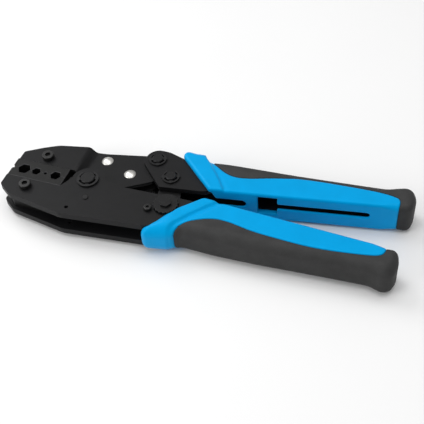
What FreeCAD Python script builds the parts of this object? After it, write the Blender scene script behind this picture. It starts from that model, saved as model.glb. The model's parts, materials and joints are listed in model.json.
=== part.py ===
import FreeCAD, Part
import math
import os

# Ratcheting crimping tool for coaxial ferrules.  Two frame plates carry the lower die and the fixed
# grip.  A moving jaw turns on the main pivot, the moving handle turns on the jaw's tail, and a toggle
# link joins the handle to an eccentric adjusting pin in the frame.
#
# The linkage is laid out in plan about the main pivot: +X runs from the jaws to the grips, +Y from
# the fixed grip to the moving one, and +Z up out of the front plate, with z = 0 in the middle of
# the stack.  ROW_SHIFT carries that layout to the row frame, whose origin is under the middle of the
# whole tool, on the surface that it lies on.

Vector = FreeCAD.Vector

# ---- driving dimensions, millimetres and degrees ----
PIVOT = (0.0, 0.0)             # main pivot of the moving jaw
JAW_PIN = (31.2, 26.2)         # moving handle on the jaw's tail
LINK_PIN = (43.3, 15.3)        # toggle link on the moving handle
ADJUSTER = (48.6, -5.9)        # eccentric pin of the toggle link in the frame
PAWL_PIN = (58.6, 24.4)        # ratchet pawl in the moving handle
SPRING_PIN = (4.5, -12.8)      # frame end of the opening spring
JAW_RIVETS = ((2.3, 20.3), (18.8, 14.1))
LOCK_SCREW = (40.3, -11.0)     # holds the adjusting wheel

FACE_Z = 8.0                   # outer faces of the frame plates, the dies and the front of the jaw
FRAME_PLATE = 3.6
JAW_PLATE = 2.0
JAW_REAR_Z = 4.2               # outer face of the jaw plates where they slip between the frame plates
HANDLE_Z = 7.3                 # outer faces of the handle plates
HANDLE_PLATE = 2.8
LINK_HALF = 4.0                # half thickness of the toggle link
GRIP_HALF = 10.5               # half thickness of the grips

DIE_LEFT = -45.8
DIE_RIGHT = -13.0
PARTING_Y = -2.1               # where the two dies meet
LOWER_SEAT_Y = -8.6            # frame seat of the lower die
UPPER_SEAT_Y = 4.7             # jaw seat of the upper die
LOWER_DIE_SCREW = (-31.4, -14.3)
UPPER_DIE_SCREW = (-29.3, 9.9)
CAVITIES = ((-38.5, 6.48), (-31.0, 4.52), (-25.3, 1.72), (-19.0, 5.41))   # x and width across flats

BOSS_R = 9.3                   # frame plate round the main pivot
LUG_R = 8.6                    # frame plate round the adjuster
RELIEF_R = 9.9                 # jaw's raised front part stays outside this radius
JOGGLE_START = -9.7            # the jaw plates step inwards between these two x values
JOGGLE_END = -6.3
BEND_R = 3.0

PIVOT_R = 4.0
PIN_R = 3.1
PAWL_PIN_R = 2.0
SPRING_PIN_R = 1.6
JOURNAL_R = 4.2                # adjuster where it turns in the frame plates
ECCENTRIC_R = 3.0
ECCENTRICITY = 0.5
FIT = 0.05                     # radial clearance of running fits
WHEEL_R = 6.9
BOSS_FLATS = 5.8               # hexagonal front boss that carries the wheel
LINK_EYE_R = 5.2               # enlarged eye round the eccentric
TEETH = 11
TOOTH_STEP = 8.0               # degrees between ratchet teeth
TOOTH_START = 22.0
RATCHET_R = 9.2
TOOTH_DEPTH = 0.9

# Each grip is drawn from the corner where its inner face begins: distances run along that face and
# outwards from it.  The flare lists its front lip as (distance along, distance outwards, corner radius).
UPPER_GRIP = {
    "corner": (74.0, 11.3), "direction": 9.2, "side": 1, "length": 103.6,
    "flare": ((-6.8, 0.0, 4.0), (-29.2, 28.8, 3.6), (-13.5, 27.4, 4.2), (-10.0, 24.0, 4.5)),
}
LOWER_GRIP = {
    "corner": (74.0, 3.5), "direction": -3.1, "side": -1, "length": 100.9,
    "flare": ((-7.2, 0.0, 4.0), (-37.2, 34.9, 3.8), (-15.0, 28.8, 4.2), (-10.0, 24.6, 4.2)),
}
GRIP_EDGE_R = 3.5
COVER_SKIN = 2.4               # thickness of the soft cover over the grip's core
SLOT_HALF = 1.7
SLOT_Z = 0.8                   # middle of the slot in the grip's inner face
WINDOW_HALF = 6.2
SLOT_WALL = 1.4                # thickness of the inner face where the slots pass through it
POCKET_HALF = 4.2              # half height of the hollow behind the slots

ROW_SHIFT = Vector(-64.56, -8.081, GRIP_HALF)


# ---- shape helpers ----
def outline(corners):
    """Closed plan outline.  Each corner is (x, y) or (x, y, radius), and a radius becomes a tangent arc."""
    points = [Vector(c[0], c[1], 0) for c in corners]
    radii = [c[2] if len(c) > 2 else 0.0 for c in corners]
    starts, ends, arcs = [], [], []
    for i, corner in enumerate(points):
        back = (points[i - 1] - corner).normalize()
        ahead = (points[(i + 1) % len(points)] - corner).normalize()
        if radii[i] == 0.0:
            starts.append(corner)
            ends.append(corner)
            arcs.append(None)
            continue
        half = back.getAngle(ahead) / 2
        reach = radii[i] / math.tan(half)
        middle = (back + ahead).normalize()
        nearest = corner + middle * (radii[i] / math.sin(half) - radii[i])
        starts.append(corner + back * reach)
        ends.append(corner + ahead * reach)
        arcs.append(Part.Arc(starts[-1], nearest, ends[-1]).toShape())
    edges = []
    for i in range(len(points)):
        if arcs[i] is not None:
            edges.append(arcs[i])
        follower = starts[(i + 1) % len(points)]
        if (follower - ends[i]).Length > 1e-6:
            edges.append(Part.LineSegment(ends[i], follower).toShape())
    return Part.Face(Part.Wire(edges))


def slab(face, low, high):
    """A plan face extruded from z = low to z = high."""
    lifted = face.copy()
    lifted.translate(Vector(0, 0, low))
    return lifted.extrude(Vector(0, 0, high - low))


def plate(corners, low, high):
    return slab(outline(corners), low, high)


def disc(centre, radius, low, high):
    return Part.makeCylinder(radius, high - low, Vector(centre[0], centre[1], low))


def ring(centre, outer, inner, low, high):
    return disc(centre, outer, low, high).cut(disc(centre, inner, low, high))


def block(x0, x1, y0, y1, z0, z1):
    return Part.makeBox(x1 - x0, y1 - y0, z1 - z0, Vector(x0, y0, z0))


def hexagon(centre, across_flats, low, high, turn=0.0):
    """Hexagonal prism whose first corner lies on +X, turned by the given angle."""
    radius = across_flats / math.sqrt(3)
    corners = []
    for i in range(6):
        angle = math.radians(60 * i + turn)
        corners.append((centre[0] + radius * math.cos(angle), centre[1] + radius * math.sin(angle)))
    return plate(corners, low, high)


def polar(centre, radius, degrees):
    angle = math.radians(degrees)
    return (centre[0] + radius * math.cos(angle), centre[1] + radius * math.sin(angle))


def mirrored(shape):
    """The same piece on the rear side of the stack."""
    return shape.mirror(Vector(0, 0, 0), Vector(0, 0, 1))


def save(name, shape):
    solid = shape.copy()
    solid.translate(ROW_SHIFT)
    solid.exportStep(os.path.join("parts", name + ".step"))


# ---- frame ----
def frame_outline():
    """One frame plate: nose, long lower edge, tang inside the grip, adjuster lug and pivot boss."""
    tang = grip_points(LOWER_GRIP, ((4, 4.2), (84, 4.2), (84, 11.0), (12, 14.5)))
    corners = [
        (-46.0, LOWER_SEAT_Y),
        (-46.0, -16.3, 2.4),
        (-38.0, -22.0, 6.0),
        (-4.7, -27.5, 12.0),
        (41.5, -22.8, 8.0),
        tang[3],
        tang[2] + (2.0,),
        tang[1] + (2.0,),
        tang[0] + (6.0,),
        (60.0, 1.2, 6.0),
        (20.0, 0.2, 14.0),
        (12.0, 1.6, 6.0),
        (5.5, 5.5, 2.0),
        (-10.0, 2.0),
        (-10.2, -3.2, 1.0),
        (-13.0, LOWER_SEAT_Y),
    ]
    return corners


def frame_plate():
    shape = plate(frame_outline(), FACE_Z - FRAME_PLATE, FACE_Z)
    shape = shape.cut(block(-12.5, -6.0, -1.0, 12.0, 0, 10))
    for centre, radius in ((PIVOT, BOSS_R), (ADJUSTER, LUG_R)):
        shape = shape.fuse(disc(centre, radius, FACE_Z - FRAME_PLATE, FACE_Z)).removeSplitter()
    holes = [
        disc(PIVOT, PIVOT_R, 0, 10),
        disc(ADJUSTER, JOURNAL_R + FIT, 0, 10),
        disc(SPRING_PIN, SPRING_PIN_R, 0, 10),
        disc(LOCK_SCREW, 1.25, 0, 10),
        disc(LOWER_DIE_SCREW, 2.1, 0, 10),
        disc((-2.5, -22.2), 1.1, 0, 10),
    ]
    for centre in frame_spacer_places():
        holes.append(disc(centre, 1.6, 0, 10))
    return shape.cut(holes)


def frame_spacer_places():
    return grip_points(LOWER_GRIP, ((13, 8.2), (72, 7.5)))


def spacer_rivet(centre, gap_half, outer_z, spacer_r=3.0, rivet_r=1.6, head_r=2.8, head=0.8):
    """A distance tube and the rivet through it: (tube, rivet)."""
    tube = ring(centre, spacer_r, rivet_r, -gap_half, gap_half)
    rivet = disc(centre, rivet_r, -outer_z, outer_z)
    for z in (outer_z, -outer_z - head):
        rivet = rivet.fuse(disc(centre, head_r, z, z + head))
    return tube, rivet.removeSplitter()


# ---- dies ----
def cavities():
    """Hexagons shared by the two dies, and the small notch at the mouth of their parting line."""
    cuts = [hexagon((x, PARTING_Y), size, -10, 10) for x, size in CAVITIES]
    mouth = [polar((DIE_LEFT, PARTING_Y), 1.3, 90 * i) for i in range(4)]
    return cuts + [plate(mouth, -10, 10)]


def lower_die():
    gap = FACE_Z - FRAME_PLATE
    head = block(DIE_LEFT, DIE_RIGHT, LOWER_SEAT_Y, PARTING_Y, -FACE_Z, FACE_Z)
    left, right, foot = DIE_LEFT + 2.8, DIE_RIGHT - 4.0, -19.5
    corners = ((left, LOWER_SEAT_Y), (left, -15.0), (left + 5.0, foot), (right, foot), (right, LOWER_SEAT_Y))
    tongue = plate(corners, -gap, gap)
    bore = disc(LOWER_DIE_SCREW, 2.0, -10, 10)
    return head.fuse(tongue).removeSplitter().cut(cavities() + [bore])


def upper_die():
    gap = FACE_Z - JAW_PLATE
    head = block(DIE_LEFT, DIE_RIGHT, PARTING_Y, UPPER_SEAT_Y, -FACE_Z, FACE_Z)
    left, right = DIE_LEFT + 2.8, DIE_RIGHT - 4.0
    corners = ((left, UPPER_SEAT_Y), (right, UPPER_SEAT_Y), (right, 15.0), (-36.0, 15.0), (left, 10.5))
    tongue = plate(corners, -gap, gap)
    bore = disc(UPPER_DIE_SCREW, 2.0, -10, 10)
    return head.fuse(tongue).removeSplitter().cut(cavities() + [bore])


def die_screw(centre):
    """Low socket-head screw through both plates and the die's tongue."""
    top = FACE_Z + 2.6
    head = disc(centre, 3.35, FACE_Z, top)
    head = head.makeFillet(0.5, [e for e in head.Edges if e.BoundBox.ZMin > top - 0.1])
    shank = disc(centre, 2.0, -FACE_Z + 0.2, FACE_Z)
    socket = hexagon(centre, 3.0, FACE_Z + 1.2, FACE_Z + 4, 30)
    return head.fuse(shank).cut(socket)


# ---- pins and clips ----
def e_clip(centre, shaft_r, outer_r, low, thickness, opening):
    """Retaining clip: a ring with three inner lobes, open on one side."""
    high = low + thickness
    shape = ring(centre, outer_r, shaft_r + 0.9, low, high)
    for turn in (90, 180, 270):
        lobe = disc(polar(centre, shaft_r + 0.9, opening + turn), 1.2, low, high)
        shape = shape.fuse(lobe)
    shape = shape.cut(disc(centre, shaft_r - 0.35, low, high))
    half = shaft_r * 0.72
    mouth = block(centre[0], centre[0] + outer_r + 2, centre[1] - half, centre[1] + half, low, high)
    mouth.rotate(Vector(centre[0], centre[1], 0), Vector(0, 0, 1), opening)
    return shape.cut(mouth).removeSplitter()


def headed_pin(centre, radius, head_r, face_z, clip_low, clip_thickness, proud):
    """Pin with a rear head and a clip groove at its front end."""
    pin = disc(centre, radius, -face_z, face_z + proud)
    edge = [e for e in pin.Edges if e.BoundBox.ZMin > face_z + proud - 0.01]
    pin = pin.makeChamfer(0.4, edge)
    pin = pin.fuse(disc(centre, head_r, -face_z - 1.6, -face_z))
    groove = ring(centre, radius + 1, radius - 0.35, clip_low, clip_low + clip_thickness)
    return pin.cut(groove).removeSplitter()


# ---- moving jaw ----
JAW_TOP = ((-45.0, 10.7, 2.0), (-35.5, 16.7, 10.0), (-27.5, 20.9, 12.0), (-10.5, 24.4, 10.0))


def jaw_blank():
    """Plan outline of a jaw plate before it is joggled."""
    return outline((
        (-45.0, UPPER_SEAT_Y),
        *JAW_TOP,
        (0.0, 25.5, 12.0),
        (24.3, 30.7, 10.0),
        (34.0, 34.5, 5.8),
        (38.0, 24.0, 5.8),
        (33.4, 12.4, 2.5),
        (20.0, 3.6, 6.0),
        (4.0, -10.6, 7.4),
        (-8.4, -9.0, 7.4),
        (-8.4, 3.6, 1.0),
        (-10.2, UPPER_SEAT_Y),
    ))


def joggle_section(outer_high, outer_low, thickness):
    """Side profile of the plate, as a solid that spans the whole width of the jaw."""
    face = outline((
        (-60, outer_high), (JOGGLE_START, outer_high, BEND_R),
        (JOGGLE_END, outer_low, BEND_R), (60, outer_low),
        (60, outer_low - thickness), (JOGGLE_END, outer_low - thickness, BEND_R),
        (JOGGLE_START, outer_high - thickness, BEND_R), (-60, outer_high - thickness),
    ))
    face.rotate(Vector(0, 0, 0), Vector(1, 0, 0), 90)
    face.translate(Vector(0, -30, 0))
    return face.extrude(Vector(0, 80, 0))


def jaw_plate():
    shape = slab(jaw_blank(), 0, 10).common(joggle_section(FACE_Z, JAW_REAR_Z, JAW_PLATE))
    shape = shape.cut([
        disc(PIVOT, RELIEF_R, JAW_REAR_Z, 10),
        disc(PIVOT, PIVOT_R + FIT, 0, 10),
        disc(JAW_PIN, PIN_R + FIT, 0, 10),
        disc(UPPER_DIE_SCREW, 2.1, 0, 10),
    ] + [disc(centre, 1.8, 0, 10) for centre in JAW_RIVETS])
    return shape


def domed_rivet(centre):
    """Bright rivet with a low domed head on each outer face of the jaw's rear part."""
    head_r, height = 3.3, 1.3
    sphere_r = (head_r ** 2 + height ** 2) / (2 * height)
    shape = disc(centre, 1.8, -JAW_REAR_Z, JAW_REAR_Z)
    for side in (1, -1):
        middle = Vector(centre[0], centre[1], side * (JAW_REAR_Z + height - sphere_r))
        dome = Part.makeSphere(sphere_r, middle)
        low = JAW_REAR_Z if side > 0 else -JAW_REAR_Z - 5
        shape = shape.fuse(dome.common(disc(centre, 6, low, low + 5)))
    return shape.removeSplitter()


# ---- moving handle ----
def handle_outline():
    tang = grip_points(UPPER_GRIP, ((-2, 3.6), (84, 3.6), (84, 11.0), (10, 17.0)))
    return (
        (23.6, 23.0, 4.0),
        (39.4, 6.8, 1.0),
        (64.0, 10.2, 8.0),
        tang[0] + (8.0,),
        tang[1] + (2.0,),
        tang[2] + (2.0,),
        tang[3],
        (45.5, 31.0, 10.0),
        (36.0, 33.9, 7.0),
        (25.0, 34.4, 7.2),
    )


def handle_plate():
    shape = plate(handle_outline(), HANDLE_Z - HANDLE_PLATE, HANDLE_Z)
    holes = [
        disc(JAW_PIN, PIN_R, 0, 10),
        disc(LINK_PIN, PIN_R, 0, 10),
        disc(PAWL_PIN, PAWL_PIN_R, 0, 10),
    ]
    for centre in handle_spacer_places():
        holes.append(disc(centre, 1.6, 0, 10))
    return shape.cut(holes)


def handle_spacer_places():
    return grip_points(UPPER_GRIP, ((13, 8.2), (72, 7.4)))


# ---- toggle link, ratchet and adjuster ----
def toggle_link():
    """Solid link between the handle pin and the eccentric, with ratchet teeth round its handle end."""
    eye = disc(ADJUSTER, LINK_EYE_R + 2.6, -LINK_HALF, LINK_HALF)
    knuckle = disc(LINK_PIN, 6.6, -LINK_HALF, LINK_HALF)
    across = Vector(LINK_PIN[1] - ADJUSTER[1], ADJUSTER[0] - LINK_PIN[0], 0).normalize()
    bar = plate((
        (LINK_PIN[0] - across.x * 5.6, LINK_PIN[1] - across.y * 5.6),
        (ADJUSTER[0] - across.x * 7.0, ADJUSTER[1] - across.y * 7.0),
        (ADJUSTER[0] + across.x * 7.0, ADJUSTER[1] + across.y * 7.0),
        (LINK_PIN[0] + across.x * 5.6, LINK_PIN[1] + across.y * 5.6),
    ), -LINK_HALF, LINK_HALF)
    corners = [LINK_PIN]
    for i in range(TEETH):
        start = TOOTH_START + i * TOOTH_STEP
        corners.append(polar(LINK_PIN, RATCHET_R - TOOTH_DEPTH, start))
        corners.append(polar(LINK_PIN, RATCHET_R, start + TOOTH_STEP * 0.75))
    corners.append(polar(LINK_PIN, RATCHET_R - TOOTH_DEPTH, TOOTH_START + TEETH * TOOTH_STEP))
    teeth = plate(corners, -LINK_HALF, LINK_HALF)
    shape = eye.fuse([knuckle, bar, teeth]).removeSplitter()
    return shape.cut([disc(LINK_PIN, PIN_R + FIT, -10, 10), disc(ADJUSTER, LINK_EYE_R, -10, 10)])


def ratchet_pawl():
    """Pawl whose nose stands just off the tips of the ratchet teeth."""
    toward = math.degrees(math.atan2(LINK_PIN[1] - PAWL_PIN[1], LINK_PIN[0] - PAWL_PIN[0]))
    reach = math.dist(PAWL_PIN, LINK_PIN) - RATCHET_R - 0.3
    nose = polar(PAWL_PIN, reach, toward)
    shape = plate((
        polar(PAWL_PIN, 3.6, toward + 95),
        polar(nose, 1.8, toward + 180 - 40),
        polar(nose, 0.0, toward) + (0.5,),
        polar(nose, 2.2, toward + 180 + 60),
        polar(PAWL_PIN, 3.6, toward - 95),
    ), -3.0, 3.0)
    shape = shape.fuse(disc(PAWL_PIN, 3.7, -3.0, 3.0))
    tail = plate((
        polar(PAWL_PIN, 1.6, toward + 90), polar(PAWL_PIN, 1.6, toward - 90),
        polar(PAWL_PIN, 7.4, toward - 168) + (0.8,), polar(PAWL_PIN, 7.4, toward + 168) + (0.8,),
    ), -3.0, 3.0)
    return shape.fuse(tail).removeSplitter().cut(disc(PAWL_PIN, PAWL_PIN_R + FIT, -10, 10))


def adjusting_wheel():
    """Notched wheel on the front end of the eccentric pin."""
    shape = disc(ADJUSTER, WHEEL_R, FACE_Z + 0.1, FACE_Z + 1.6)
    notches = [disc(polar(ADJUSTER, WHEEL_R + 0.35, 20 * i + 212), 0.85, 5, 15) for i in range(18)]
    return shape.cut(notches + [hexagon(ADJUSTER, BOSS_FLATS, 5, 15)])


def eccentric_pin():
    """Two journals in the frame plates, the eccentric between them and a hexagonal front boss."""
    middle = (ADJUSTER[0] + ECCENTRICITY, ADJUSTER[1])
    shape = disc(middle, ECCENTRIC_R, -LINK_HALF - 0.4, LINK_HALF + 0.4)
    shape = shape.fuse(disc(ADJUSTER, JOURNAL_R, LINK_HALF + 0.4, FACE_Z + 0.1))
    shape = shape.fuse(disc(ADJUSTER, JOURNAL_R, -FACE_Z, -LINK_HALF - 0.4))
    shape = shape.fuse(disc(ADJUSTER, 5.4, -FACE_Z - 1.2, -FACE_Z - 0.1))
    shape = shape.fuse(disc(ADJUSTER, JOURNAL_R - 0.6, -FACE_Z - 0.1, -FACE_Z))
    boss = hexagon(ADJUSTER, BOSS_FLATS, FACE_Z + 0.1, FACE_Z + 2.9)
    return shape.fuse(boss).removeSplitter()


def spring_pin():
    """Plain pin whose two ends stand a little proud, with rounded rims."""
    shape = disc(SPRING_PIN, SPRING_PIN_R, -FACE_Z - 0.6, FACE_Z + 0.6)
    return shape.makeFillet(0.4, [e for e in shape.Edges if e.BoundBox.ZLength < 0.01])


def lock_screw():
    """Small screw whose head sits at the rim of the adjusting wheel."""
    shape = disc(LOCK_SCREW, 1.25, FACE_Z - FRAME_PLATE, FACE_Z)
    head = disc(LOCK_SCREW, 2.2, FACE_Z, FACE_Z + 2.0)
    head = head.makeFillet(0.6, [e for e in head.Edges if e.BoundBox.ZMin > FACE_Z + 1.9])
    return shape.fuse(head).cut(hexagon(LOCK_SCREW, 1.6, FACE_Z + 0.9, FACE_Z + 3, 10))


# ---- springs ----
def opening_spring():
    """Outer shape of the extension spring from the frame's spring pin to the rear jaw rivet."""
    start = Vector(SPRING_PIN[0], SPRING_PIN[1], 0)
    end = Vector(JAW_RIVETS[1][0], JAW_RIVETS[1][1], 0)
    along = (end - start).normalize()
    coil = Part.makeCylinder(1.95, 16.0, start + along * 5.0, along)
    coil = coil.cut(Part.makeCylinder(1.1, 16.0, start + along * 5.0, along))
    legs = Part.makeCylinder(0.45, 3.2, start + along * 2.0, along)
    far_leg = Part.makeCylinder(0.45, (end - start).Length - 20.8 - 3.4, start + along * 20.8, along)
    eyes = []
    for centre, hole in ((SPRING_PIN, SPRING_PIN_R + 0.1), (JAW_RIVETS[1], 2.9)):
        eyes.append(ring(centre, hole + 0.9, hole, -0.45, 0.45))
    caps = []
    for offset in (5.0, 20.5):
        caps.append(Part.makeCylinder(1.95, 0.5, start + along * offset, along))
    return coil.fuse([legs, far_leg] + eyes + caps).removeSplitter()


def pawl_spring():
    """Outer shape of the small compression spring behind the pawl's tail."""
    toward = math.degrees(math.atan2(LINK_PIN[1] - PAWL_PIN[1], LINK_PIN[0] - PAWL_PIN[0]))
    tail = polar(PAWL_PIN, 6.0, toward + 180)
    start = polar(tail, 1.9, toward + 90)
    along = Vector(*polar((0, 0), 1.0, toward + 90), 0)
    return Part.makeCylinder(1.4, 5.0, Vector(start[0], start[1], 0), along)


# ---- grips ----
def grip_points(grip, pairs):
    """Plan points of a grip from (distance along it, distance outwards) pairs."""
    corner, side = grip["corner"], grip["side"]
    angle = math.radians(grip["direction"])
    along = (math.cos(angle), math.sin(angle))
    out = (-side * along[1], side * along[0])
    points = []
    for u, v in pairs:
        points.append((corner[0] + along[0] * u + out[0] * v, corner[1] + along[1] * u + out[1] * v))
    return points


def grip_outline(grip, inset=0.0):
    """Plan outline: flared front lip, waist, slight taper and rounded pommel."""
    end = grip["length"]
    shape = grip["flare"] + (
        (30.0, 21.6, 60.0),
        (88.0, 15.2, 14.0),
        (end - 2.5, 17.8, 5.5),
        (end, 8.0, 14.0),
        (end - 3.2, 0.0, 4.4),
    )
    points = grip_points(grip, [(u, v) for u, v, _ in shape])
    face = outline([p + (c[2],) for p, c in zip(points, shape)])
    if inset == 0.0:
        return face
    return face.makeOffset2D(-inset)


def cover_region(grip):
    """Plan area of the soft cover: everything outside a flowing line from the flare to the pommel."""
    line = ((-11.0, 26.8), (-8.8, 20.2), (-2.0, 14.9), (9.0, 11.4), (24.0, 12.2), (42.0, 13.5),
            (64.0, 12.2), (84.0, 9.0), (91.6, 6.2))
    points = [Vector(x, y, 0) for x, y in grip_points(grip, line)]
    curve = Part.BSplineCurve()
    curve.interpolate(points)
    rest = grip_points(grip, ((93.2, 2.5), (93.2, -6.0), (130.0, -6.0), (130.0, 45.0), (-11.0, 45.0)))
    corners = [points[-1]] + [Vector(x, y, 0) for x, y in rest] + [points[0]]
    sides = [Part.LineSegment(a, b).toShape() for a, b in zip(corners, corners[1:])]
    return Part.Face(Part.Wire([curve.toShape()] + sides))


def grip_body(grip):
    shape = slab(grip_outline(grip), -GRIP_HALF, GRIP_HALF)
    rims = [e for e in shape.Edges if e.BoundBox.ZLength < 0.01]
    return shape.makeFillet(GRIP_EDGE_R, rims)


def grip_cover(grip):
    core = slab(grip_outline(grip, COVER_SKIN), -GRIP_HALF + COVER_SKIN, GRIP_HALF - COVER_SKIN)
    region = slab(cover_region(grip), -20, 20)
    return grip_body(grip).common(region).cut(core)


def grip_shell(grip, cover, plate_outline, plate_z, rivets):
    """Hard sleeve of the grip: hollow round the steel plates and rivets, slotted along its inner face."""
    shape = grip_body(grip).cut(cover)
    shape = shape.cut(plate(plate_outline, -plate_z, plate_z))
    cuts = [disc(centre, 2.9, -plate_z - 0.9, plate_z + 0.9) for centre in rivets]
    for start, end in ((-14.0, 13.2), (30.0, 79.5)):
        points = grip_points(grip, ((start, -4), (end, -4), (end, 8), (start, 8)))
        cuts.append(plate(points, SLOT_Z - SLOT_HALF, SLOT_Z + SLOT_HALF))
        pocket = grip_points(grip, ((start, SLOT_WALL), (end, SLOT_WALL), (end, 8), (start, 8)))
        cuts.append(plate(pocket, -POCKET_HALF, POCKET_HALF))
    window = grip_points(grip, ((19.5, -4), (30.0, -4), (30.0, 6), (19.5, 6)))
    cuts.append(plate(window, SLOT_Z - WINDOW_HALF, SLOT_Z + WINDOW_HALF))
    return shape.cut(cuts)


# ---- build ----
def build_frame():
    front = frame_plate()
    save("frame_plate_front", front)
    save("frame_plate_rear", mirrored(front))
    save("lower_die", lower_die())
    save("lower_die_screw", die_screw(LOWER_DIE_SCREW))
    save("pivot_pin", headed_pin(PIVOT, PIVOT_R, 6.4, FACE_Z, FACE_Z + 0.1, 1.0, 2.0))
    save("pivot_clip", e_clip(PIVOT, PIVOT_R, 6.1, FACE_Z + 0.1, 1.0, 110))
    save("spring_pin", spring_pin())
    for number, centre in enumerate(frame_spacer_places(), 1):
        tube, rivet = spacer_rivet(centre, FACE_Z - FRAME_PLATE, FACE_Z)
        save("frame_spacer_%d" % number, tube)
        save("frame_rivet_%d" % number, rivet)
    save("adjuster_lock_screw", lock_screw())


def build_adjuster():
    save("adjusting_wheel", adjusting_wheel())
    save("eccentric_pin", eccentric_pin())


def build_jaw():
    front = jaw_plate()
    save("jaw_plate_front", front)
    save("jaw_plate_rear", mirrored(front))
    save("upper_die", upper_die())
    save("upper_die_screw", die_screw(UPPER_DIE_SCREW))
    gap = JAW_REAR_Z - JAW_PLATE
    for number, centre in enumerate(JAW_RIVETS, 1):
        save("jaw_rivet_%d" % number, domed_rivet(centre))
        save("jaw_spacer_%d" % number, ring(centre, 2.8, 1.8, -gap, gap))


def build_handle():
    front = handle_plate()
    save("handle_plate_front", front)
    save("handle_plate_rear", mirrored(front))
    for name, centre in (("jaw_pin", JAW_PIN), ("link_pin", LINK_PIN)):
        save(name, headed_pin(centre, PIN_R, 4.8, HANDLE_Z, HANDLE_Z + 0.1, 0.9, 1.8))
        save(name + "_clip", e_clip(centre, PIN_R, 4.9, HANDLE_Z + 0.1, 0.9, 110))
    save("pawl_pin", disc(PAWL_PIN, PAWL_PIN_R, -HANDLE_Z, HANDLE_Z))
    for number, centre in enumerate(handle_spacer_places(), 1):
        tube, rivet = spacer_rivet(centre, HANDLE_Z - HANDLE_PLATE, HANDLE_Z)
        save("handle_spacer_%d" % number, tube)
        save("handle_rivet_%d" % number, rivet)


def build_grips():
    lower_cover = grip_cover(LOWER_GRIP)
    upper_cover = grip_cover(UPPER_GRIP)
    save("lower_grip_cover", lower_cover)
    save("upper_grip_cover", upper_cover)
    lower = grip_shell(LOWER_GRIP, lower_cover, frame_outline(), FACE_Z, frame_spacer_places())
    lower = lower.cut(disc(ADJUSTER, WHEEL_R + 0.4, FACE_Z, GRIP_HALF))
    upper = grip_shell(UPPER_GRIP, upper_cover, handle_outline(), HANDLE_Z, handle_spacer_places())
    save("lower_grip_shell", lower)
    save("upper_grip_shell", upper)


os.makedirs("parts", exist_ok=True)
build_frame()
build_adjuster()
build_jaw()
build_handle()
build_grips()
save("toggle_link", toggle_link())
save("ratchet_pawl", ratchet_pawl())
save("opening_spring", opening_spring())
save("pawl_spring", pawl_spring())
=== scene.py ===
import math

import bpy
import numpy as np
from mathutils import Matrix, Vector
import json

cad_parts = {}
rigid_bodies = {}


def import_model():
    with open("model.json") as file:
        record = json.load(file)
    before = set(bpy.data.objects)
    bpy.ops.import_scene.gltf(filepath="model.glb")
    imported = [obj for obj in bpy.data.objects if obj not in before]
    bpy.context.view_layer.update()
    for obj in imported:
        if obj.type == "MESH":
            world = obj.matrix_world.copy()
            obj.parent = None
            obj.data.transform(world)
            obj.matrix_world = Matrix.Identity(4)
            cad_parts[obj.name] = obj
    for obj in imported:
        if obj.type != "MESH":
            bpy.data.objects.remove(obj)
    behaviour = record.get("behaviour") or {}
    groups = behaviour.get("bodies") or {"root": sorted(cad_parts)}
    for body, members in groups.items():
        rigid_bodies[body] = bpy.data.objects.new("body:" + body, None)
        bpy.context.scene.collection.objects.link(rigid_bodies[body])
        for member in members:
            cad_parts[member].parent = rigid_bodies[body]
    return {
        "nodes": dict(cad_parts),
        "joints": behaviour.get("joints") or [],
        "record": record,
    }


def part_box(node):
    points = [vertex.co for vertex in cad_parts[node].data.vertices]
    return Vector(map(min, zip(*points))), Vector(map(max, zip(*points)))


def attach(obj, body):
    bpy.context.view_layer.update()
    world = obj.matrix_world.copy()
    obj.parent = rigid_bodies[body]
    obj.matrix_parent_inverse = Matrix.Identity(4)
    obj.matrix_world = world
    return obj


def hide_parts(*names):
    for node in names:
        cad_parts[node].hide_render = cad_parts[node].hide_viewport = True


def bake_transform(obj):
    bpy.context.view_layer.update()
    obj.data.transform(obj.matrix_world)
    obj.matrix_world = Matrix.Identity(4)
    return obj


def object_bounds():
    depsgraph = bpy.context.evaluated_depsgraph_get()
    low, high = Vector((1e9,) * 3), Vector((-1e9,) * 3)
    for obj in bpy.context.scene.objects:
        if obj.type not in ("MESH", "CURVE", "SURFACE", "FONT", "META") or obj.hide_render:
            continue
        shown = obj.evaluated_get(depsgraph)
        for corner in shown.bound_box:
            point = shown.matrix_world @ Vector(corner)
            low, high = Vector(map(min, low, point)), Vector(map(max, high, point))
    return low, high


# Looks of a ratcheting crimping tool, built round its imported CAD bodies.  The steel parts are the CAD's
# own, with bevelled edges and new finishes.  The moulded grips and the wound springs are built here.
# The grips are drawn in millimetres in their own plan frame and turned into metres at the end.

for leftover in list(bpy.data.objects):
    bpy.data.objects.remove(leftover)

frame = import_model()
cad_low, cad_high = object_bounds()

MM = 0.001
JOINT = {joint["name"]: Vector(joint["pos_m"]) for joint in frame["joints"]}
PIVOT = JOINT["jaw_pivot"]     # main pivot, at mid thickness: the grips are laid out from it

# ---- camera, floor and sky, in metres ----
CAMERA_PLACE = (0.12632, -0.29239, 0.34492)
CAMERA_RIGHT = (0.94187, 0.33197, -0.05178)
CAMERA_UP = (-0.21019, 0.70241, 0.68003)
CAMERA_BACK = (0.26212, -0.62961, 0.73135)
CAMERA_LENS = 71.96
SKY_LIGHT = 0.45
FLOOR_SIZE = 3.0
FLOOR_GAP = 0.0002             # how far the floor lies under the tool

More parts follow.
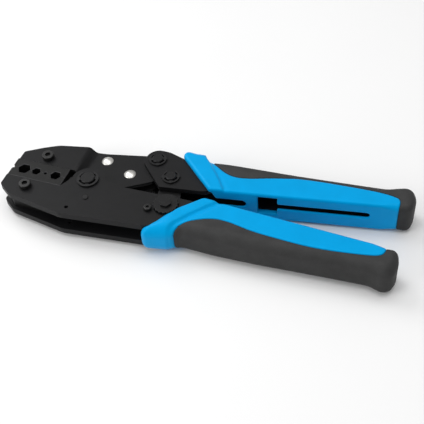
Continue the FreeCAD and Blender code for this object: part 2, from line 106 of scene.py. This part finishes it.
# ---- grips, in millimetres in each grip's own plan frame ----
# u runs along the inner face from the corner beside the linkage, v outwards from that face, and z is
# the height above mid thickness.
CAD_HALF = 10.5                # half thickness at the raised front lip
BODY_HALF = 9.7                # half thickness behind the lip
EDGE_RADIUS = 1.6              # rounding of the edges along the inner face
BACK_RADIUS = 4.4              # added to it over the back
POMMEL_RADIUS = 2.2            # added to it round the end
NOSE_RADIUS = 8.5              # rounding of a blunt front lip
COVER_RISE = 0.45              # how far the soft cover's crown stands above the sleeve
POMMEL_RISE = 0.3              # how much further it stands at the end
SEAM_DEPTH = 0.2               # groove where sleeve and cover meet
SEAM_WIDTH = 0.5
SEAM_BLEND = 0.6               # rounding of their edges at that groove
CUT_BLEND = 0.35               # rounding of the openings' edges
PLATE_GAP = 0.04               # clearance between the sleeve and the steel plates inside it
COVER_SKIN = 2.4               # thickness of the soft cover
CUT_DEPTH = 7.0                # how far the openings in the inner face reach outwards
VOXEL = 0.5                    # sampling step of the moulded shapes

# Of each grip: "corner" and "direction" (degrees) place its plan frame about the main pivot, and
# "side" is the way that v points.  "outline" has corners (u, v, radius), "step" is the line where the
# raised lip ends, "boundary" is the front edge of the soft cover, and "plates" is the room for the
# steel plates, "plate_half" high each way.  At the lip, "crisp" is how much sharper the back edge is,
# "nose" is how blunt the front is, and "slope" and "dip" are the run and depth of the step.
UPPER = {
    "name": "upper_grip", "body": "moving_handle",
    "corner": (74.0, 11.3), "direction": 9.2, "side": 1,
    "outline": (
        (-6.8, 0.0, 3.0), (-29.2, 28.8, 3.2), (-13.0, 27.4, 2.0), (-10.6, 24.6, 3.0), (30.0, 20.2, 60.0),
        (88.0, 15.2, 14.0), (101.1, 17.8, 5.5), (103.6, 8.0, 14.0), (100.4, 0.0, 4.4),
    ),
    "step": (
        (3.2, -6.0), (0.9, 0.6), (-3.6, 9.9), (-6.9, 15.5), (-9.4, 20.0), (-11.6, 24.0), (-12.8, 28.0),
        (-13.6, 36.0),
    ),
    "boundary": (
        (-9.4, 30.0), (-8.9, 24.5), (-7.0, 20.4), (-4.5, 17.9), (-1.6, 15.4), (1.5, 13.3), (4.5, 12.0),
        (7.7, 11.4), (10.9, 11.3), (16.6, 11.8), (24.3, 13.0), (32.0, 13.8), (40.8, 14.5), (52.0, 14.0),
        (63.2, 12.7), (82.0, 10.1), (92.0, 7.3), (94.4, 4.4), (93.8, -1.0), (93.6, -8.0),
    ),
    "plates": (
        (-42.0, 1.6), (-13.0, 0.45), (-9.0, 0.8), (-3.2, 3.3), (0.0, 3.6), (84.0, 3.6), (84.0, 11.0),
        (10.0, 17.0), (-26.0, 24.4), (-42.0, 26.0),
    ),
    "plate_half": 7.3, "crisp": 2.6, "nose": 0.0, "slope": 0.6, "dip": 0.2,
}
LOWER = {
    "name": "lower_grip", "body": "frame",
    "corner": (74.0, 3.5), "direction": -3.1, "side": -1,
    "outline": (
        (-7.2, 0.0, 3.6), (-37.6, 34.4, 3.2), (-15.2, 28.3, 3.6), (-10.6, 25.0, 3.6),
        (30.0, 21.6, 60.0), (88.0, 15.2, 14.0), (98.4, 17.8, 5.5), (100.9, 8.0, 14.0), (97.7, 0.0, 4.4),
    ),
    "step": (
        (2.5, -6.0), (0.4, 0.4), (-3.4, 5.4), (-6.7, 9.5), (-9.9, 13.6), (-12.9, 18.2), (-15.5, 21.9),
        (-16.8, 25.6), (-16.6, 29.5), (-15.6, 36.0),
    ),
    "boundary": (
        (-12.6, 36.0), (-13.6, 31.0), (-14.2, 28.0), (-13.8, 25.0), (-12.2, 21.8), (-9.3, 18.7), (-5.1, 15.9),
        (0.0, 13.3), (5.5, 11.7), (11.7, 11.6), (18.0, 12.4), (28.0, 13.5), (51.3, 13.6), (68.0, 11.9),
        (84.0, 8.9), (90.4, 6.6), (92.2, 3.4), (92.0, -1.0), (92.0, -8.0),
    ),
    "plates": (
        (-50.0, -1.0), (-14.6, -0.4), (-8.0, 1.4), (4.0, 4.2), (84.0, 4.2), (84.0, 11.0), (12.0, 14.5),
        (-33.0, 24.8), (-50.0, 26.0),
    ),
    "plate_half": 8.0, "crisp": 0.0, "nose": 1.0, "slope": 1.1, "dip": 0.75,
}
WINDOW_HALF = 6.2              # half height of the square window, which is as deep as the slots
SLOTS = ((-14.0, 13.2, 2.3), (29.0, 79.5, 1.7), (19.5, 30.2, WINDOW_HALF))     # start, end, half height
SLOT_MIDDLE = 0.8              # height of their middle
SLOT_WALL = 1.4                # inner face where the slots pass through it
POCKET_HALF = 4.2              # half height of the hollow behind the slots
MOUTH_HALF = 6.6               # half height of the opening under the lip, in front of the first slot
WHEEL_RELIEF = 7.3             # radius left free round the adjusting wheel

# Runs over which the grips' section changes, in the same plan frame
BACK_RUN = (2.0, 13.0)         # v, from the inner face's edge rounding to the back's
FRONT_RUN = (2.0, 8.0)         # distance behind the front edge, likewise
NOSE_RUN = (16.0, 38.0)        # v less 0.35 u, from a plain lip to its blunt nose
POMMEL_RUN = (84.0, 94.0)      # u, from the body to the end
CROWN_RUN = 7.0                # distance inside the cover's edge where it reaches its full rise
SOFTENING = 20                 # smoothing passes over the depth of the section

# ---- springs, in millimetres ----
OPENING_WIRE = 0.45            # wire radius
OPENING_COIL = (5.2, 20.6)     # where the coil starts and ends, from the spring pin
OPENING_RADIUS = 1.5
OPENING_TURNS = 16
PIN_EYE = 1.95                 # radius of the eye round the spring pin
RIVET_EYE = 3.4                # radius of the eye round the jaw's spacer
PAWL_WIRE = 0.25
PAWL_RADIUS = 1.1
PAWL_REACH = 2.45              # half length of the pawl spring
PAWL_TURNS = 6

# ---- lights: name, place, side of the square panel in metres, watts ----
LIGHTS = (
    ("key", (-0.72, 0.30, 0.80), 0.6, 4.2),
    ("side", (-0.62, -0.62, 0.50), 0.5, 3.6),
    ("top", (0.05, 0.0, 1.0), 0.8, 5.0),
)


# ---------------------------------------------------------------- plan curves and distances
def rounded(corners, step=6.0):
    """Points of a closed outline whose corners (x, y, radius) are tangent arcs."""
    loop = []
    for i, (x, y, radius) in enumerate(corners):
        here = Vector((x, y))
        back = (Vector(corners[i - 1][:2]) - here).normalized()
        ahead = (Vector(corners[(i + 1) % len(corners)][:2]) - here).normalized()
        half = back.angle(ahead) / 2
        centre = here + (back + ahead).normalized() * (radius / math.sin(half))
        first = here + back * (radius / math.tan(half)) - centre
        sweep = math.pi - 2 * half
        turn = math.copysign(sweep, first.x * (here - centre).y - first.y * (here - centre).x)
        count = max(2, math.ceil(math.degrees(sweep) / step))
        for k in range(count + 1):
            loop.append(centre + Matrix.Rotation(turn * k / count, 2) @ first)
    return np.array(loop)


def flowing(points, count=8):
    """A Catmull-Rom curve through the points, as short straight pieces."""
    p = np.array(points, float)
    p = np.vstack([2 * p[0] - p[1], p, 2 * p[-1] - p[-2]])
    t = np.linspace(0, 1, count, endpoint=False)[:, None]
    parts = []
    for a, b, c, d in zip(p, p[1:], p[2:], p[3:]):
        parts.append(0.5 * (2 * b + (c - a) * t + (2 * a - 5 * b + 4 * c - d) * t ** 2
                            + (3 * b - a - 3 * c + d) * t ** 3))
    return np.vstack(parts + [p[-2:-1]])


def line_distance(x, y, line):
    """Distance from each point to a polyline."""
    best = np.full(x.shape, 1e9)
    for (ax, ay), (bx, by) in zip(line, line[1:]):
        dx, dy = bx - ax, by - ay
        t = np.clip(((x - ax) * dx + (y - ay) * dy) / max(dx * dx + dy * dy, 1e-12), 0, 1)
        best = np.minimum(best, np.hypot(x - ax - t * dx, y - ay - t * dy))
    return best


def within(x, y, loop):
    """Which points lie inside a closed polygon."""
    inside = np.zeros(x.shape, bool)
    for (ax, ay), (bx, by) in zip(loop, np.roll(loop, -1, 0)):
        spans = (ay > y) != (by > y)
        if ay != by:
            inside ^= spans & (x < (bx - ax) * (y - ay) / (by - ay) + ax)
    return inside


def area_distance(x, y, loop):
    """Signed distance to a closed polygon, negative inside."""
    loop = np.asarray(loop, float)
    gap = line_distance(x, y, np.vstack([loop, loop[:1]]))
    return np.where(within(x, y, loop), -gap, gap)


def softened(edge, passes):
    """The distance field with the creases in its deep part smoothed away, so that wide roundings blend."""
    soft = edge
    for _ in range(passes):
        wide = np.pad(soft, 1, mode="edge")
        soft = (wide[:-2, 1:-1] + wide[2:, 1:-1] + wide[1:-1, :-2] + wide[1:-1, 2:] + 2 * wide[1:-1, 1:-1]) / 6
    deep = step_up(-edge, 0.4, 3.0)
    return edge * (1 - deep) + soft * deep


def step_up(value, low, high):
    """A smooth step from 0 at low to 1 at high."""
    t = np.clip((value - low) / (high - low), 0, 1)
    return t * t * (3 - 2 * t)


def smooth_max(a, b, blend):
    """The larger of two distances, with the crease between them rounded."""
    h = np.maximum(blend - np.abs(a - b), 0) / blend
    return np.maximum(a, b) + h * h * blend / 4


# ---------------------------------------------------------------- meshing a distance field
def surface_nets(field, origin, step):
    """Vertices and quads where a sampled distance field crosses zero, one vertex in each crossed cell."""
    solid = field < 0
    size = tuple(n - 1 for n in field.shape)
    total = np.zeros(size + (3,))
    count = np.zeros(size)
    for axis in range(3):
        for i in (0, 1):
            for j in (0, 1):
                start = [0, 0, 0]
                start[(axis + 1) % 3], start[(axis + 2) % 3] = i, j
                end = list(start)
                end[axis] = 1
                a = field[tuple(slice(s, s + n) for s, n in zip(start, size))]
                b = field[tuple(slice(s, s + n) for s, n in zip(end, size))]
                crossed = (a < 0) != (b < 0)
                share = np.where(crossed, a / np.where(crossed, a - b, 1), 0)
                for k in range(3):
                    total[..., k] += crossed * (start[k] + (share if k == axis else 0))
                count += crossed
    used = count > 0
    index = np.full(size, -1)
    index[used] = np.arange(used.sum())
    cells = np.argwhere(used)
    points = (cells + total[used] / count[used][:, None]) * step + origin
    quads = []
    for axis in range(3):
        order = (axis, (axis + 1) % 3, (axis + 2) % 3)
        s, c = solid.transpose(order), index.transpose(order)
        low, high = s[:-1, 1:-1, 1:-1], s[1:, 1:-1, 1:-1]
        around = np.stack([c[:, :-1, :-1], c[:, 1:, :-1], c[:, 1:, 1:], c[:, :-1, 1:]], -1)
        quads.append(around[low & ~high])
        quads.append(around[~low & high][:, ::-1])
    return points, np.vstack(quads)


def mesh_object(name, points, faces):
    """A smooth-shaded mesh object in the scene."""
    mesh = bpy.data.meshes.new(name)
    mesh.from_pydata(points, [], faces)
    mesh.polygons.foreach_set("use_smooth", [True] * len(mesh.polygons))
    mesh.update()
    made = bpy.data.objects.new(name, mesh)
    bpy.context.scene.collection.objects.link(made)
    return made


# ---------------------------------------------------------------- grips
def to_row(grip, points):
    """Grip plan points in millimetres to the row frame in metres."""
    angle = math.radians(grip["direction"])
    along = np.array((math.cos(angle), math.sin(angle)))
    out = np.array((-grip["side"] * along[1], grip["side"] * along[0]))
    plan = np.array(grip["corner"]) + points[:, :1] * along + points[:, 1:2] * out
    return np.column_stack([plan, points[:, 2]]) * MM + np.array(PIVOT)


def from_row(grip, place):
    """A row frame place in metres to the grip's plan frame in millimetres."""
    angle = math.radians(grip["direction"])
    along = Vector((math.cos(angle), math.sin(angle)))
    out = Vector((-along.y, along.x)) * grip["side"]
    offset = (place - PIVOT).xy / MM - Vector(grip["corner"])
    return offset.dot(along), offset.dot(out)


def grip_plan(grip, u, v):
    """What the grip's section is over each plan sample.

    Returns the distance to the outline, the distance to the soft cover's edge (negative under the cover),
    the rounding of the edges, the half thickness, and the depth of the seam.
    """
    edge = softened(area_distance(u, v, rounded(grip["outline"])), SOFTENING)
    step = area_distance(u, v, np.vstack([flowing(grip["step"]), (-60, 40), (-60, -10)]))
    rubber = area_distance(u, v, np.vstack([flowing(grip["boundary"]), (130, -8), (130, 50), (-9, 50)]))

    front = line_distance(u, v, np.array((grip["outline"][0][:2], grip["outline"][1][:2])))
    outer = step_up(v, *BACK_RUN) * step_up(front, *FRONT_RUN)
    pommel = step_up(u, *POMMEL_RUN)
    slope, dip = grip["slope"], grip["dip"]
    lip = 1 - step_up(step, -slope, slope)
    radius = EDGE_RADIUS + (BACK_RADIUS - grip["crisp"] * lip) * outer + POMMEL_RADIUS * pommel * (1 - outer)
    nose = grip["nose"] * lip * step_up(v - 0.35 * u, *NOSE_RUN)
    radius = radius * (1 - nose) + NOSE_RADIUS * nose

    half = BODY_HALF + (CAD_HALF - BODY_HALF) * lip
    half = half - dip * np.exp(-((step - 0.8 - slope / 2) / (0.6 + slope)) ** 2)
    edge = edge + dip * (1 - lip) * step_up(v, 12.0, 20.0) * (1 - step_up(u, -8.0, 8.0))
    half = half + COVER_RISE * step_up(-rubber, 0.0, CROWN_RUN)
    half = half + POMMEL_RISE * pommel * step_up(-rubber, 0.0, 4.0)
    half = np.minimum(half, CAD_HALF)
    seam = SEAM_DEPTH * np.exp(-(rubber / SEAM_WIDTH) ** 2) * (1 - pommel * (1 - step_up(v, 3.0, 8.0)))
    return edge, rubber, radius, half, seam


def grip_cuts(grip, u, v, z):
    """Distance fields of what is taken out of the sleeve."""
    plates = area_distance(u, v, np.array(grip["plates"]))[:, :, None] - PLATE_GAP
    cuts = [np.maximum(plates, np.abs(z) - grip["plate_half"] - PLATE_GAP)]
    rise = np.abs(z - SLOT_MIDDLE)
    for start, end, height in SLOTS:
        along = (np.abs(u - (start + end) / 2) - (end - start) / 2)[:, :, None]
        across = np.maximum(along, (v - CUT_DEPTH)[:, :, None])
        round_end = height if height < WINDOW_HALF else 0.0
        ends = np.hypot(np.maximum(along + round_end, 0), np.maximum(rise - height + round_end, 0))
        cuts.append(np.maximum(np.maximum(ends - round_end, across), rise - height))
        pocket = np.maximum(across, (SLOT_WALL - v)[:, :, None])
        cuts.append(np.maximum(pocket, np.abs(z) - POCKET_HALF))
    mouth = np.maximum(v - CUT_DEPTH, u + 2.0)[:, :, None]
    opening = np.minimum(-1.9 * u[:, :, None] - 4.0, MOUTH_HALF)
    cuts.append(np.maximum(mouth, (rise - opening) / 1.6))
    if grip is LOWER:
        wheel = from_row(grip, JOINT["adjuster_turn"])
        round_wheel = np.hypot(u - wheel[0], v - wheel[1])[:, :, None] - WHEEL_RELIEF
        cuts.append(np.maximum(round_wheel, grip["plate_half"] - z))
    return cuts


def grip_fields(grip):
    """Sampled distances of one grip: (sleeve, cover, lowest corner of the samples)."""
    loop = rounded(grip["outline"])
    low = np.array((loop[:, 0].min() - 1.5, loop[:, 1].min() - 1.5, -CAD_HALF - 1.0))
    high = np.array((loop[:, 0].max() + 1.5, loop[:, 1].max() + 1.5, CAD_HALF + 1.0))
    axes = [np.arange(a, b + VOXEL, VOXEL) for a, b in zip(low, high)]
    u, v = np.meshgrid(axes[0], axes[1], indexing="ij")
    z = axes[2][None, None, :]
    edge, rubber, radius, half, seam = grip_plan(grip, u, v)

    side = (edge + radius)[:, :, None]
    top = np.abs(z) - (half - radius)[:, :, None]
    body = np.minimum(np.maximum(side, top), 0) + np.hypot(np.maximum(side, 0), np.maximum(top, 0))
    body = body - radius[:, :, None] + seam[:, :, None]

    core = body + COVER_SKIN
    area = rubber[:, :, None] + 0 * z
    sleeve = np.minimum(smooth_max(body, -area, SEAM_BLEND), core + 0.1)
    cover = smooth_max(smooth_max(body, area, SEAM_BLEND), -core, SEAM_BLEND)
    for cut in grip_cuts(grip, u, v, z):
        sleeve = smooth_max(sleeve, -cut, CUT_BLEND)
    return sleeve, cover, low


def build_grip(grip):
    sleeve, cover, low = grip_fields(grip)
    for part, field, slot in (("shell", sleeve, "grip_shell"), ("cover", cover, "grip_cover")):
        points, quads = surface_nets(field, low, VOXEL)
        if grip["side"] < 0:
            quads = quads[:, ::-1]
        name = grip["name"] + "_" + part
        piece = mesh_object(name + "_moulded", to_row(grip, points).tolist(), quads.tolist())
        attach(piece, grip["body"])
        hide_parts(name)
        dress(piece, slot)


# ---------------------------------------------------------------- springs
def tube_along(name, path, radius, sides=10):
    """A closed tube of round section along a list of points."""
    points, faces = [], []
    normal = None
    for i, here in enumerate(path):
        tangent = (path[min(i + 1, len(path) - 1)] - path[max(i - 1, 0)]).normalized()
        normal = tangent.orthogonal() if normal is None else normal - tangent * normal.dot(tangent)
        normal.normalize()
        other = tangent.cross(normal)
        for k in range(sides):
            angle = 2 * math.pi * k / sides
            points.append(here + (normal * math.cos(angle) + other * math.sin(angle)) * radius)
    for i in range(len(path) - 1):
        for k in range(sides):
            a, b = i * sides + k, i * sides + (k + 1) % sides
            faces.append((a, b, b + sides, a + sides))
    faces.append(tuple(range(sides))[::-1])
    faces.append(tuple(range(len(points) - sides, len(points))))
    return mesh_object(name, points, faces)


def node_middle(node):
    low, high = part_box(node)
    return (low + high) / 2


def coil(start, end, radius, turns):
    """Helix points from start to end, sixteen to the turn."""
    along = (end - start).normalized()
    across = along.cross(Vector((0, 0, 1))).normalized()
    count = turns * 16
    points = []
    for i in range(count + 1):
        angle = 2 * math.pi * i / 16
        offset = across * math.cos(angle) + Vector((0, 0, 1)) * math.sin(angle)
        points.append(start.lerp(end, i / count) + offset * radius)
    return points


def eye(centre, toward, radius):
    """Open loop round a pin, in the plan plane, whose ends face the coil."""
    first = math.atan2(toward.y, toward.x)
    points = []
    for i in range(17):
        angle = first + math.radians(20 + 320 * i / 16)
        points.append(centre + Vector((math.cos(angle), math.sin(angle), 0)) * radius)
    return points


def build_springs():
    pin, rivet = node_middle("spring_pin"), node_middle("jaw_spacer_2")
    pin.z = rivet.z = PIVOT.z
    along = (rivet - pin).normalized()
    inner, outer = (pin + along * place * MM for place in OPENING_COIL)
    path = eye(pin, along, PIN_EYE * MM)[::-1] + coil(inner, outer, OPENING_RADIUS * MM, OPENING_TURNS)
    path += eye(rivet, -along, RIVET_EYE * MM)
    opening = tube_along("opening_spring_wound", path, OPENING_WIRE * MM)
    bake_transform(opening)
    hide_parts("opening_spring")
    dress(opening, "spring_steel")

    # The pawl spring stands square to the line from the pawl's pivot to the link's.
    middle = node_middle("pawl_spring")
    reach = PAWL_REACH * MM
    toward = JOINT["link_pivot"] - JOINT["pawl_pivot"]
    along = Vector((-toward.y, toward.x, 0)).normalized()
    turns = coil(middle - along * reach, middle + along * reach, PAWL_RADIUS * MM, PAWL_TURNS)
    small = tube_along("pawl_spring_wound", turns, PAWL_WIRE * MM, 8)
    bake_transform(small)
    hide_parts("pawl_spring")
    dress(small, "spring_steel")


# ---------------------------------------------------------------- materials
def shader(name):
    material = bpy.data.materials.new(name)
    material.use_nodes = True
    tree = material.node_tree
    return material, tree, tree.nodes["Principled BSDF"]


def noise(tree, scale, detail=3.0, roughness=0.5):
    """A noise field in object space.  The scale is in features to the metre."""
    node = tree.nodes.new("ShaderNodeTexNoise")
    node.inputs["Scale"].default_value = scale
    node.inputs["Detail"].default_value = detail
    node.inputs["Roughness"].default_value = roughness
    tree.links.new(tree.nodes.new("ShaderNodeTexCoord").outputs["Object"], node.inputs["Vector"])
    return node.outputs["Fac"]


def ramp(tree, value, stops):
    """A colour ramp over the value; each stop is (place, colour or grey level)."""
    node = tree.nodes.new("ShaderNodeValToRGB")
    elements = node.color_ramp.elements
    while len(elements) < len(stops):
        elements.new(0.5)
    for element, (place, colour) in zip(elements, stops):
        element.position = place
        if isinstance(colour, (int, float)):
            colour = (colour,) * 3
        element.color = (*colour, 1)
    tree.links.new(value, node.inputs["Fac"])
    return node.outputs["Color"]


def bump(tree, bsdf, fields):
    """Stacks bumps; each is (height field, strength, depth in millimetres)."""
    normal = None
    for field, strength, depth in fields:
        node = tree.nodes.new("ShaderNodeBump")
        node.inputs["Strength"].default_value = strength
        node.inputs["Distance"].default_value = depth * MM
        tree.links.new(field, node.inputs["Height"])
        if normal is not None:
            tree.links.new(normal, node.inputs["Normal"])
        normal = node.outputs["Normal"]
    tree.links.new(normal, bsdf.inputs["Normal"])


def scaled(colour, factor):
    return tuple(min(1.0, c * factor) for c in colour)


def mottled(name, colour, spread, rough, blotch, grain, depth, metallic=0.0, specular=0.5, tint=(1, 1, 1)):
    """Finish with slow colour blotches, fine grain in the surface and a varying gloss.

    spread is how far the colour varies, rough the lowest and highest roughness, blotch and grain the
    features to the metre, depth the grain's in millimetres, tint the colour of the surface's reflections.
    """
    material, tree, bsdf = shader(name)
    blotches = noise(tree, blotch, 4.0, 0.55)
    fine = noise(tree, grain, 2.0, 0.6)
    tree.links.new(
        ramp(tree, blotches, ((0.3, scaled(colour, 1 - spread)), (0.7, scaled(colour, 1 + spread)))),
        bsdf.inputs["Base Color"])
    tree.links.new(ramp(tree, fine, ((0.25, rough[0]), (0.75, rough[1]))), bsdf.inputs["Roughness"])
    bsdf.inputs["Metallic"].default_value = metallic
    bsdf.inputs["Specular IOR Level"].default_value = specular
    bsdf.inputs["Specular Tint"].default_value = (*tint, 1)
    bump(tree, bsdf, ((fine, 0.6, depth), (blotches, 0.3, depth * 2)))
    return material


FINISH = {
    "plate_steel": mottled("plate_black", (0.0050, 0.0050, 0.0056), 0.14, (0.42, 0.58), 180, 5200, 0.012,
                           specular=0.20),
    "die_steel": mottled("die_black", (0.0048, 0.0048, 0.0046), 0.16, (0.38, 0.54), 240, 3800, 0.010,
                         specular=0.22),
    "black_screw": mottled("screw_black", (0.008, 0.008, 0.008), 0.15, (0.28, 0.44), 500, 4200, 0.008,
                           specular=0.35),
    "pin_steel": mottled("pin_black", (0.005, 0.005, 0.0055), 0.15, (0.32, 0.50), 420, 4200, 0.008,
                         specular=0.25),
    "clip_steel": mottled("clip_black", (0.006, 0.006, 0.0066), 0.15, (0.34, 0.50), 420, 4200, 0.008,
                          specular=0.28),
    "bright_rivet": mottled("rivet_bright", (0.70, 0.69, 0.66), 0.05, (0.34, 0.46), 500, 2600, 0.003,
                            metallic=1.0),
    "spring_steel": mottled("spring_bright", (0.42, 0.41, 0.40), 0.08, (0.22, 0.40), 600, 3000, 0.005,
                            metallic=1.0),
    "grip_shell": mottled("shell_blue", (0.0, 0.300, 0.640), 0.04, (0.30, 0.40), 90, 3400, 0.010,
                          specular=0.22, tint=(0.15, 0.7, 1)),
    "grip_cover": mottled("cover_rubber", (0.027, 0.027, 0.027), 0.16, (0.60, 0.80), 150, 2600, 0.03,
                          specular=0.32),
}
# Finish of the bevels: lighter than the plates, partly for wear and partly as a painted highlight along the
# edges.
WORN_HIGHLIT_EDGE = mottled("edge_wear_and_highlight", (0.030, 0.030, 0.033), 0.25, (0.30, 0.46), 700, 3600, 0.010, metallic=0.3)
BEVEL_WIDTH = {        # millimetres
    "plate_steel": 0.25, "die_steel": 0.2, "pin_steel": 0.18, "clip_steel": 0.12, "black_screw": 0.12,
}


def dress(piece, slot):
    piece.data.materials.clear()
    piece.data.materials.append(FINISH[slot])


def bevel(piece, width):
    """Breaks a steel part's sharp edges; the narrow new faces take a lighter finish that is partly wear and
    partly painted highlight.
    """
    weld = piece.modifiers.new("weld", "WELD")
    weld.merge_threshold = 1e-6
    edges = piece.modifiers.new("bevel", "BEVEL")
    edges.width = width * MM
    edges.segments = 2
    edges.limit_method = "ANGLE"
    edges.angle_limit = math.radians(40)
    edges.use_clamp_overlap = True
    edges.harden_normals = True
    edges.material = 1
    piece.data.materials.append(WORN_HIGHLIT_EDGE)


def finish_steel():
    """Dresses every CAD body that no moulded or wound piece has replaced."""
    for entry in frame["record"]["subparts"]:
        node, slot = entry["node"], entry["material_slot"]
        piece = frame["nodes"][node]
        if piece.hide_render:
            continue
        dress(piece, slot)
        if slot in BEVEL_WIDTH:
            bevel(piece, BEVEL_WIDTH[slot])


# ---------------------------------------------------------------- stage
def build_floor():
    half = FLOOR_SIZE / 2
    corners = [(-half, -half, 0), (half, -half, 0), (half, half, 0), (-half, half, 0)]
    floor = mesh_object("floor", corners, [(0, 1, 2, 3)])
    material, tree, bsdf = shader("floor_white")
    faint = ramp(tree, noise(tree, 4.0), ((0.3, 0.80), (0.7, 0.82)))
    tree.links.new(faint, bsdf.inputs["Base Color"])
    bsdf.inputs["Roughness"].default_value = 0.75
    bsdf.inputs["Specular IOR Level"].default_value = 0.2
    floor.data.materials.append(material)
    floor.location.z = cad_low.z - FLOOR_GAP


def build_light():
    world = bpy.data.worlds.new("tent")
    world.use_nodes = True
    sky = world.node_tree.nodes["Background"]
    sky.inputs["Color"].default_value = (1.0, 1.0, 1.0, 1)
    sky.inputs["Strength"].default_value = SKY_LIGHT
    bpy.context.scene.world = world
    middle = (cad_low + cad_high) / 2
    for name, place, size, watts in LIGHTS:
        data = bpy.data.lights.new(name, "AREA")
        data.shape = "RECTANGLE"
        data.size = data.size_y = size
        data.energy = watts
        lamp = bpy.data.objects.new(name, data)
        bpy.context.scene.collection.objects.link(lamp)
        lamp.location = place
        lamp.rotation_mode = "QUATERNION"
        lamp.rotation_quaternion = (Vector(place) - middle).to_track_quat("Z", "Y")


def build_camera():
    data = bpy.data.cameras.new("camera")
    data.lens = CAMERA_LENS
    data.sensor_width = 36.0
    data.clip_start = 0.02
    camera = bpy.data.objects.new("camera", data)
    bpy.context.scene.collection.objects.link(camera)
    turn = Matrix((CAMERA_RIGHT, CAMERA_UP, CAMERA_BACK)).transposed()
    camera.matrix_world = Matrix.Translation(CAMERA_PLACE) @ turn.to_4x4()
    bpy.context.scene.camera = camera


build_camera()
build_grip(UPPER)
build_grip(LOWER)
build_springs()
finish_steel()
build_floor()
build_light()
bpy.context.scene.view_settings.view_transform = "Standard"
